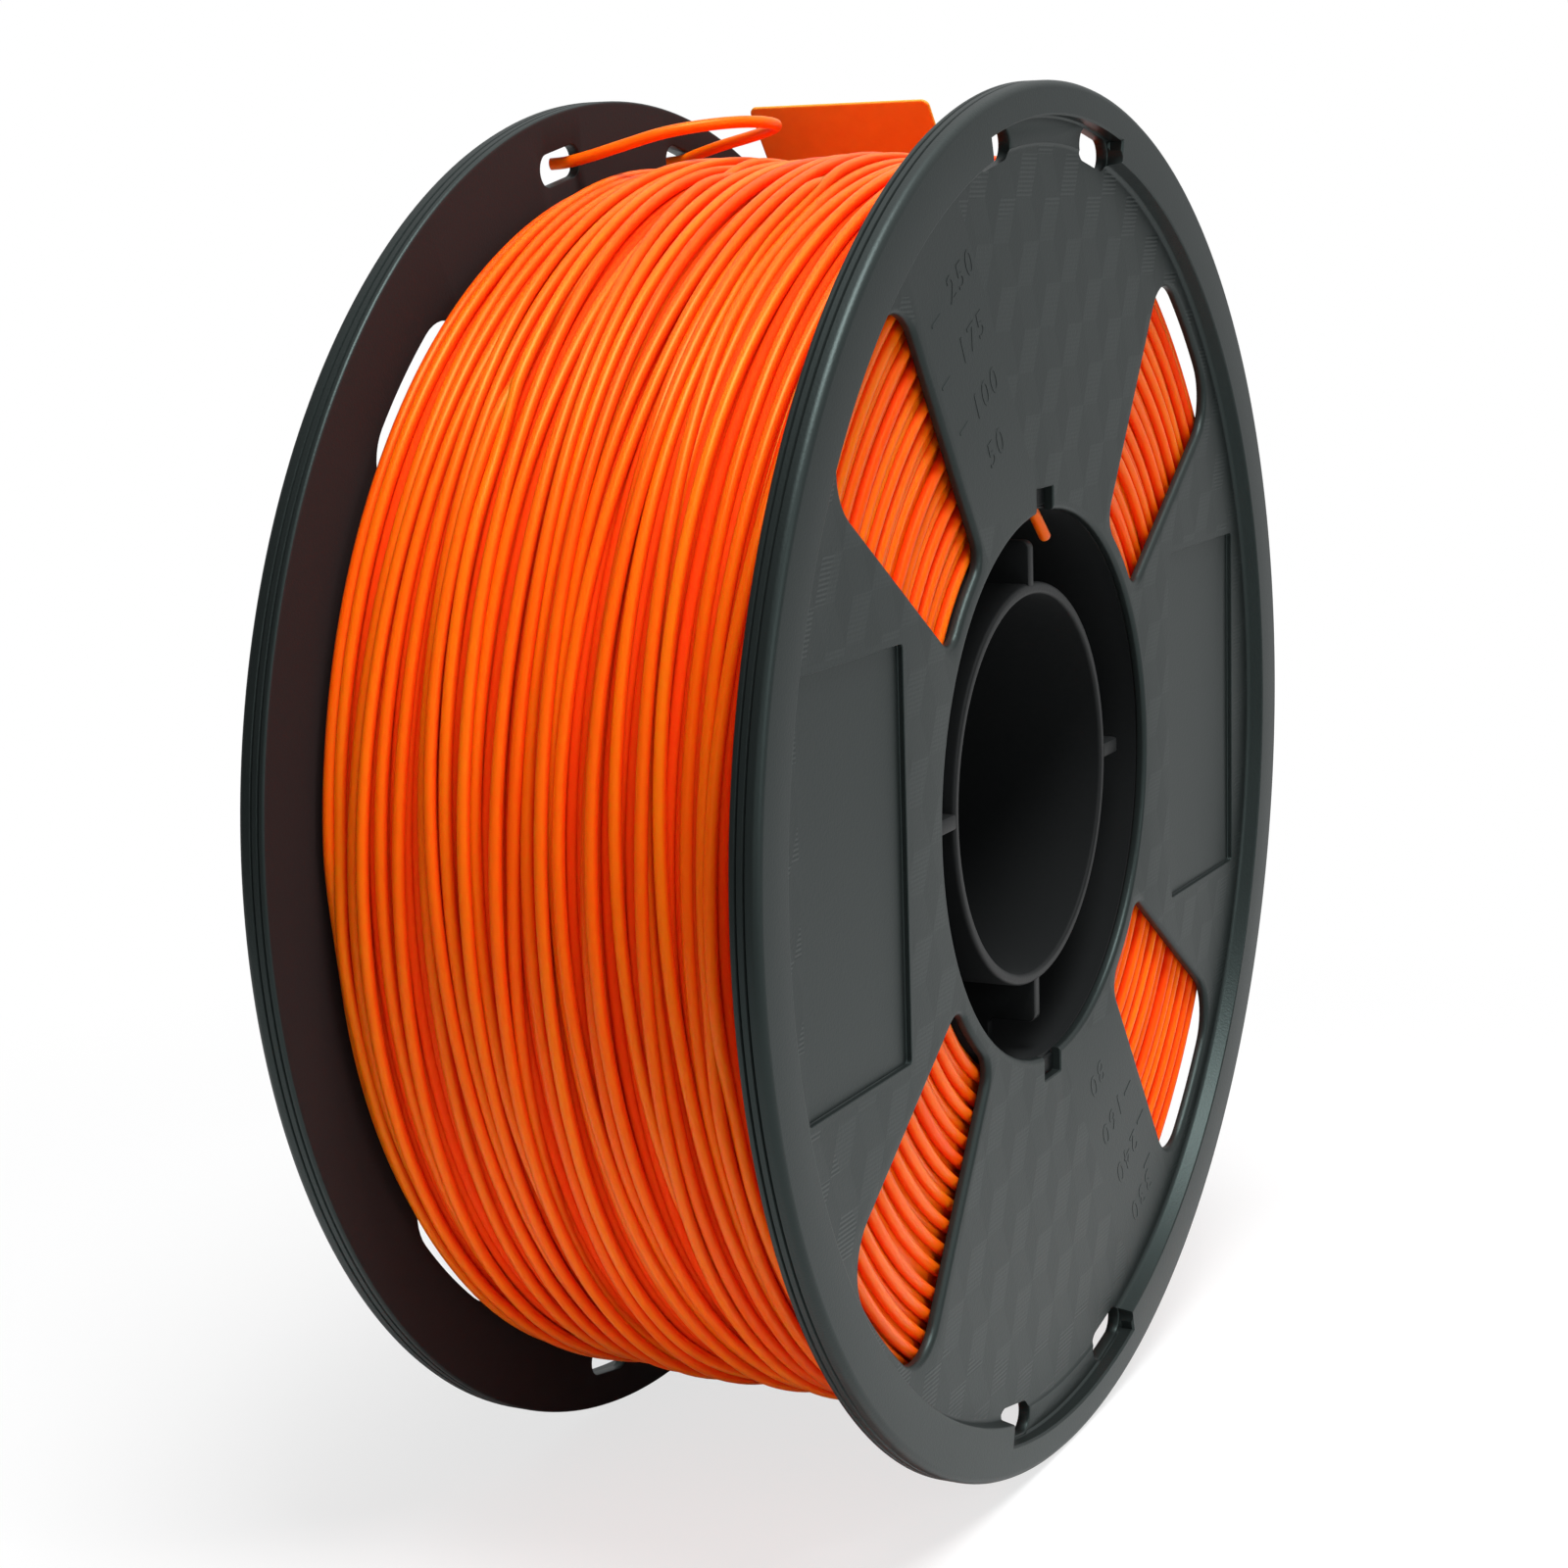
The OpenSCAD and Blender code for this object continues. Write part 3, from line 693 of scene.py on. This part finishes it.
def flange_material():
    """Black styrene: fine grain, tumbling tiles in three shades on the web except on
    the label panels and the strips of gauge marks, and thin ruled lines on one tile of
    three, clearest near the border. The tiles' three shades, each lighter towards the top
    of its hexagon, are painted sheen; the ruled lines are relief and also painted light
    and dark stripes. The inner faces are duller, and painted dark red as a painted
    reflection of the orange winding. The rear flange is the front one turned round, so X
    is counted by its side."""
    material, tree, shader = new_material("flange_black_plastic")
    place = add(tree, "ShaderNodeTexCoord").outputs["Object"]
    apart = add(tree, "ShaderNodeSeparateXYZ", {0: place})
    x, y, z = (apart.outputs[k] for k in "XYZ")
    x = sums(tree, "MULTIPLY", x, sums(tree, "MULTIPLY", sums(tree, "SIGN", y), -1.0))
    flat = add(tree, "ShaderNodeCombineXYZ", {0: x, 2: z}).outputs[0]
    tiles = add(tree, "ShaderNodeGroup", node_tree=tumbling_tiles)
    tree.links.new(flat, tiles.inputs["Vector"])
    grain = add(tree, "ShaderNodeGroup", node_tree=moulded_grain)
    tree.links.new(place, grain.inputs["Vector"])
    grain.inputs["Size"].default_value = 2600.0
    radius = add(tree, "ShaderNodeVectorMath", {0: flat}, operation="LENGTH").outputs["Value"]
    across = sums(tree, "ABSOLUTE", y)
    height = sums(tree, "ABSOLUTE", z)
    web = sums(tree, "MULTIPLY", band(tree, radius, TILED_FROM * MM, TILED_TO * MM),
               band(tree, across, (FIELD_Y - 0.08) * MM, (FIELD_Y + 0.08) * MM))
    panel_x = sums(tree, "SUBTRACT", sums(tree, "ABSOLUTE", x), PANEL_X * MM)
    panel = sums(tree, "MULTIPLY",
                 sums(tree, "LESS_THAN", sums(tree, "ABSOLUTE", panel_x),
                      (PANEL_HALF_W + LABEL_MARGIN) * MM),
                 sums(tree, "LESS_THAN", height, (PANEL_HALF_H + LABEL_MARGIN) * MM))
    edge = sums(tree, "MULTIPLY_ADD", x, STRIP_WAY[0], sums(tree, "MULTIPLY", z, STRIP_WAY[1]))
    edge = sums(tree, "MULTIPLY", edge, sums(tree, "SIGN", z))
    strip = sums(tree, "MULTIPLY", band(tree, edge, 0.0, STRIP_W * MM),
                 sums(tree, "GREATER_THAN", height, OPENING_R * MM))
    smooth = sums(tree, "MAXIMUM", panel, strip)
    tiled = sums(tree, "MULTIPLY", web, sums(tree, "SUBTRACT", 1.0, smooth))
    lines = sums(tree, "SINE", sums(tree, "MULTIPLY", z, 2 * math.pi / (RULED_PITCH * MM)))
    ruled = sums(tree, "MULTIPLY", sums(tree, "GREATER_THAN", tiles.outputs["Tile"], 0.5), tiled)
    # Painted sheen: each kind of tile gets its own shade, lighter towards the top of its hexagon.
    shade = sums(tree, "MULTIPLY_ADD", tiles.outputs["Up"], 0.35, tiles.outputs["Tile"])
    shade = sums(tree, "MULTIPLY_ADD", sums(tree, "MULTIPLY", shade, tiled), 0.15, 0.5)
    outside = sums(tree, "GREATER_THAN", radius, RULED_CLEAR_R * MM)
    clear = sums(tree, "MULTIPLY_ADD", outside, 0.8, 0.2)
    ridges = sums(tree, "MULTIPLY", sums(tree, "MULTIPLY", lines, ruled), clear)
    shade = sums(tree, "MULTIPLY_ADD", grain.outputs["Clouds"], 0.3,
                 sums(tree, "SUBTRACT", shade, 0.15))
    # Painted light and dark stripes along the ruled lines, besides their relief in the bump.
    shade = sums(tree, "MULTIPLY_ADD", ridges, 0.12, shade)
    colour = blend(tree, shade, FLANGE_BLACK, FLANGE_GREY)
    # Painted reflection: the inner faces are painted dark red for the orange winding that they
    # face.
    inner = sums(tree, "LESS_THAN", across, (INNER_Y + 0.1) * MM)
    colour = blend(tree, inner, colour, FLANGE_INSIDE_REFLECTION)
    tree.links.new(colour, shader.inputs["Base Color"])
    shader.inputs["Specular IOR Level"].default_value = 0.35
    shader.inputs["Specular Tint"].default_value = (0.75, 1.0, 0.97, 1)
    rough = sums(tree, "MULTIPLY_ADD", shade, -0.1, 0.48)
    rough = sums(tree, "MULTIPLY_ADD", inner, 0.42, rough)
    tree.links.new(rough, shader.inputs["Roughness"])
    relief = sums(tree, "MULTIPLY_ADD", ridges, 0.8, grain.outputs["Height"])
    bump = add(tree, "ShaderNodeBump", {"Height": relief, "Strength": 0.25, "Distance": 0.0001})
    tree.links.new(bump.outputs["Normal"], shader.inputs["Normal"])
    return material


def tie_outline():
    """Slot for the filament's end, its middle on the X axis: long round the rim."""
    half, r = TIE_W / 2, TIE_LEN / 2
    return rounded([(TIE_R - r, -half, r - 0.05), (TIE_R + r, -half, r - 0.05),
                    (TIE_R + r, half, r - 0.05), (TIE_R - r, half, r - 0.05)], 8)


def channel_outline():
    """Part of a ring, its middle on the X axis, from inside the border to the slots'
    outer ends."""
    out_r = TIE_R + TIE_LEN / 2 + 0.4
    return np.vstack([arc_points(out_r, -CHANNEL_A, CHANNEL_A, 40),
                      arc_points(BORDER_R - 1.4, CHANNEL_A, -CHANNEL_A, 40)])


def flange_cutters():
    """The solids to take out of a blank flange, in two lots that don't meet."""
    windows, holes = [], []
    outline = window_outline()
    for quarter in range(4):
        points, faces = prism(outline, rounding(INNER_Y, FIELD_Y, 0.25, 0.85))
        windows.append((spun(points, math.pi / 4 + quarter * math.pi / 2), faces))
    for side in (-1, 1):
        x0, x1 = side * PANEL_X - PANEL_HALF_W, side * PANEL_X + PANEL_HALF_W
        panel = rounded([(x0, -PANEL_HALF_H, 0.6), (x1, -PANEL_HALF_H, 0.6),
                         (x1, PANEL_HALF_H, 0.6), (x0, PANEL_HALF_H, 0.6)])
        windows.append(prism(panel, [(-0.08, FIELD_Y - PANEL_DEEP),
                                     (0, FIELD_Y - PANEL_DEEP + 0.1), (0, FIELD_Y - 0.1),
                                     (0.1, FIELD_Y), (0.1, FIELD_Y + 1)]))
        upright = side * math.pi / 2
        points, faces = prism(channel_outline(), [(-0.3, CHANNEL_Y), (0, CHANNEL_Y + 0.3),
                                                  (0, FACE_Y - 0.3), (0.3, FACE_Y),
                                                  (0.3, FACE_Y + 1)])
        windows.append((spun(points, upright), faces))
        x0, x1 = NOTCH_X
        z0, z1 = sorted([side * NOTCH_LOW, side * NOTCH_HIGH])
        notch = rounded([(x0, z0, 0.2), (x1, z0, 0.2), (x1, z1, 0.2), (x0, z1, 0.2)], 2)
        holes.append(prism(notch, [(0, INNER_Y - 1), (0, FIELD_Y - 0.2), (0.2, FIELD_Y),
                                   (0.2, FIELD_Y + 1)]))
        for turn_by in (-TIE_A, TIE_A):
            points, faces = prism(tie_outline(), rounding(INNER_Y, CHANNEL_Y, 0.3, 0.3, 3))
            holes.append((spun(points, upright + turn_by), faces))
    return windows, holes


flange_black = flange_material()
blank = lathe(web_section() * [1, -1], 288)
front = new_piece("flange_front", *blank, flange_black)
for lot in flange_cutters():
    cut(front, lot)
front.data.polygons.foreach_set("use_smooth", np.ones(len(front.data.polygons), bool))
front.data.set_sharp_from_angle(angle=math.radians(28))
rear_mesh = front.data.copy()
rear_mesh.transform(Matrix.Rotation(math.pi, 4, "Z"))
rear = bpy.data.objects.new("flange_rear", rear_mesh)
scene.collection.objects.link(rear)
for piece, node in ((front, "front_flange"), (rear, "rear_flange")):
    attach(piece, "root")
    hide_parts(node)


# ---------------------------------------------------------------- gauge marks
# Low raised numbers and ticks on each flange beside two of its windows, which show how
# much filament is left. They are moulded with the flange, in the same black styrene.
MARK_HIGH, MARK_TILT = 0.07, math.radians(28)
NUMBER_SIZE, NUMBER_SPACING = 5.4, 1.25
TICK_HALF_W, TICK_HALF_H, TICK_R = 1.7, 0.3, 0.25
TOP_NUMBERS = [("250", -30.7, 74.0), ("175", -27.1, 65.7), ("100", -22.7, 58.0),
               ("50", -19.3, 50.4)]
LOW_NUMBERS = [("80", 17.0, -48.7), ("160", 23.5, -57.0), ("240", 29.8, -65.0),
               ("330", 36.3, -73.3)]
TICKS = [(-39.0, 68.5), (-36.0, 60.3), (-30.3, 54.0)]


def number_solid(body, x, z, tilt):
    """A number as a closed low relief on the web, its middle at x and z."""
    curve = bpy.data.curves.new("number", "FONT")
    curve.body = body
    curve.size = NUMBER_SIZE
    curve.space_character = NUMBER_SPACING
    curve.align_x = "CENTER"
    curve.align_y = "CENTER"
    curve.extrude = MARK_HIGH / 2
    curve.resolution_u = 3
    text = bpy.data.objects.new("number", curve)
    scene.collection.objects.link(text)
    mesh = bpy.data.meshes.new_from_object(
        text.evaluated_get(bpy.context.evaluated_depsgraph_get()))
    shape = bmesh.new()
    shape.from_mesh(mesh)
    bmesh.ops.remove_doubles(shape, verts=shape.verts, dist=0.001)
    flat = np.array([v.co for v in shape.verts])
    faces = [[v.index for v in face.verts] for face in shape.faces]
    shape.free()
    bpy.data.objects.remove(text)
    bpy.data.curves.remove(curve)
    bpy.data.meshes.remove(mesh)
    points = np.stack([flat[:, 0], -flat[:, 2], flat[:, 1]], 1)
    points = spun(points, tilt)
    return points + [x, -FIELD_Y - MARK_HIGH / 2 + 0.02, z], faces


def tick_solid(x, z, tilt):
    """A short raised bar on the web, its middle at x and z."""
    w, h, r = TICK_HALF_W, TICK_HALF_H, TICK_R
    bar = rounded([(-w, -h, r), (w, -h, r), (w, h, r), (-w, h, r)], 3)
    points, faces = prism(bar, [(0, FIELD_Y - 0.05), (0, FIELD_Y + MARK_HIGH - 0.05),
                                (-0.06, FIELD_Y + MARK_HIGH)])
    return spun(points, tilt) + [x, 0, z], faces


marks = [number_solid(body, x, z, MARK_TILT) for body, x, z in TOP_NUMBERS]
marks += [number_solid(body, x, z, MARK_TILT + math.pi) for body, x, z in LOW_NUMBERS]
marks += [tick_solid(x, z, MARK_TILT) for x, z in TICKS]
marks += [tick_solid(-x, -z, MARK_TILT) for x, z in TICKS]
mark_points, mark_faces = joined(marks)
for name, points in (("gauge_marks_front", mark_points),
                     ("gauge_marks_rear", turned_over(mark_points))):
    piece = new_piece(name, points, mark_faces, flange_black, sharp=30)
    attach(piece, "root")


# ---------------------------------------------------------------- hub drum
# One black styrene moulding that the flanges clip on to: a barrel that carries the
# winding, a bore tube, four ribs whose ends step back from the flanges, and lugs for
# their notches.
BARREL_IN_R, RIB_END_R, RIB_STEP = 40.2, 35.7, 7.5
BORE_R, BORE_OUT_R, BORE_Y = 27.7, 29.5, 31.5
RIB_T, RIB_EDGE, RIB_EDGE_MID = 2.2, 0.3, 0.09     # a rib's rounding, and half way round it
LUG_X, LUG_LOW, LUG_HIGH, LUG_R = (-4.5, 1.7), 40.7, 43.3, 0.3
# Painted shade: darker than the flanges' black, for the drum's dark inside.
HUB_SHADED_BLACK, HUB_SHADED_GREY = (0.002, 0.0026, 0.0028, 1), (0.005, 0.0062, 0.0066, 1)


def hub_material():
    """The drum's plastic: the flanges' black styrene without tiles, painted darker than the
    flanges as painted shade of the drum's dark inside. Its end faces have a fine satin
    finish and its walls are duller."""
    material, tree, shader = new_material("hub_black_plastic")
    place = add(tree, "ShaderNodeTexCoord").outputs["Object"]
    grain = add(tree, "ShaderNodeGroup", node_tree=moulded_grain)
    tree.links.new(place, grain.inputs["Vector"])
    grain.inputs["Size"].default_value = 1800.0
    colour = blend(tree, grain.outputs["Clouds"], HUB_SHADED_BLACK, HUB_SHADED_GREY)
    tree.links.new(colour, shader.inputs["Base Color"])
    facing = add(tree, "ShaderNodeSeparateXYZ",
                 {0: add(tree, "ShaderNodeTexCoord").outputs["Normal"]}).outputs["Y"]
    dull = add(tree, "ShaderNodeMapRange", {"Value": sums(tree, "ABSOLUTE", facing),
                                            "From Min": 0.3, "From Max": 0.9, "To Min": 0.9,
                                            "To Max": 0.4})
    tree.links.new(dull.outputs[0], shader.inputs["Roughness"])
    shader.inputs["Specular IOR Level"].default_value = 0.2
    bump = add(tree, "ShaderNodeBump", {"Height": grain.outputs["Height"], "Strength": 0.2,
                                        "Distance": 0.0001})
    tree.links.new(bump.outputs["Normal"], shader.inputs["Normal"])
    return material


hub_black = hub_material()
barrel = lathe(rounded([(BARREL_IN_R, -INNER_Y, 0.3), (DRUM_R, -INNER_Y, 0.3),
                        (DRUM_R, INNER_Y, 0.3), (BARREL_IN_R, INNER_Y, 0.3)])[::-1], 256)
bore = lathe(rounded([(BORE_R, -BORE_Y, 0.6), (BORE_OUT_R, -BORE_Y, 0.6),
                      (BORE_OUT_R, BORE_Y, 0.6), (BORE_R, BORE_Y, 0.6)])[::-1], 256)
hub = [("hub_barrel", barrel), ("hub_bore_tube", bore)]
rib_side = rounded([(BORE_OUT_R - 0.4, -BORE_Y, 0), (RIB_END_R, -BORE_Y, 1.2),
                    (RIB_END_R, RIB_STEP - BORE_Y, 0.8), (BARREL_IN_R + 0.3, RIB_STEP - BORE_Y, 0),
                    (BARREL_IN_R + 0.3, BORE_Y - RIB_STEP, 0), (RIB_END_R, BORE_Y - RIB_STEP, 0.8),
                    (RIB_END_R, BORE_Y, 1.2), (BORE_OUT_R - 0.4, BORE_Y, 0)])
rib_half = RIB_T / 2
rib_near = [(-RIB_EDGE, -rib_half), (-RIB_EDGE_MID, RIB_EDGE_MID - rib_half),
            (0, RIB_EDGE - rib_half)]
rib_far = [(grow, -away) for grow, away in reversed(rib_near)]
rib_flat, rib_faces = prism(rib_side, rib_near + rib_far)
rib_points = np.stack([rib_flat[:, 0], rib_flat[:, 2], rib_flat[:, 1]], 1)
rib_faces = [face[::-1] for face in rib_faces]
for k, name in enumerate(("right", "top", "left", "bottom")):
    hub.append(("hub_rib_" + name, (spun(rib_points, k * math.pi / 2), rib_faces)))
lugs = []
for side in (-1, 1):
    x0, x1 = LUG_X
    z0, z1 = sorted([side * LUG_LOW, side * LUG_HIGH])
    lug = rounded([(x0, z0, LUG_R), (x1, z0, LUG_R), (x1, z1, LUG_R), (x0, z1, LUG_R)], 3)
    lugs.append(prism(lug, [(0, INNER_Y - 0.1), (0, INNER_Y + 0.1), (-0.2, INNER_Y + 0.3)]))
lug_points, lug_faces = joined(lugs)
hub.append(("hub_lugs_front", (lug_points, lug_faces)))
hub.append(("hub_lugs_rear", (turned_over(lug_points), lug_faces)))
for name, (points, faces) in hub:
    piece = new_piece(name, points, faces, hub_black, sharp=35)
    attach(piece, "root")
    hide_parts("hub_drum")


# ---------------------------------------------------------------- card
# A flat orange strip of thin card that lies on the far side of the winding and stands
# up past the flanges. It is cut from coated sheet, with round corners.
CARD_W, CARD_L, CARD_T, CARD_ANGLE = 31, 60, 0.5, math.radians(38)
CARD_N, CARD_TOP, CARD_Y0, CARD_CORNER = 89.7, 56, -0.9, 1.2
CARD_EDGE = 0.1
CARD_DEEP, CARD_PALE = (0.78, 0.27, 0.03, 1), (0.88, 0.34, 0.045, 1)


def card_material():
    """Coated orange card: duller than the filament, with a faint fibre mottle, and thin
    enough to let some light through."""
    material, tree, shader = new_material("card_orange")
    place = add(tree, "ShaderNodeTexCoord").outputs["Object"]
    fibre = add(tree, "ShaderNodeTexNoise", {"Vector": place, "Scale": 260.0, "Detail": 5.0,
                                             "Roughness": 0.65})
    colour = blend(tree, fibre.outputs["Fac"], CARD_DEEP, CARD_PALE)
    tree.links.new(colour, shader.inputs["Base Color"])
    shader.inputs["Roughness"].default_value = 0.55
    shader.inputs["Subsurface Weight"].default_value = 0.7
    shader.inputs["Subsurface Radius"].default_value = (1.0, 0.7, 0.4)
    shader.inputs["Subsurface Scale"].default_value = 0.0015
    shader.inputs["Specular IOR Level"].default_value = 0.3
    bump = add(tree, "ShaderNodeBump", {"Height": fibre.outputs["Fac"], "Strength": 0.2,
                                        "Distance": 0.0001})
    tree.links.new(bump.outputs["Normal"], shader.inputs["Normal"])
    return material


card_y1, card_foot = CARD_Y0 + CARD_W, CARD_TOP - CARD_L
card_outline = rounded([(CARD_Y0, card_foot, CARD_CORNER), (card_y1, card_foot, CARD_CORNER),
                        (card_y1, CARD_TOP, CARD_CORNER), (CARD_Y0, CARD_TOP, CARD_CORNER)])
card_flat, card_faces = prism(card_outline, [(-CARD_EDGE, 0), (0, CARD_EDGE),
                                             (0, CARD_T - CARD_EDGE), (-CARD_EDGE, CARD_T)])
card_points = np.stack([CARD_N - card_flat[:, 1], card_flat[:, 0], card_flat[:, 2]], 1)
card_points = spun(card_points, CARD_ANGLE)
card = new_piece("card_strip", card_points, card_faces, card_material(), sharp=30)
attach(card, "root")
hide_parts("colour_card")
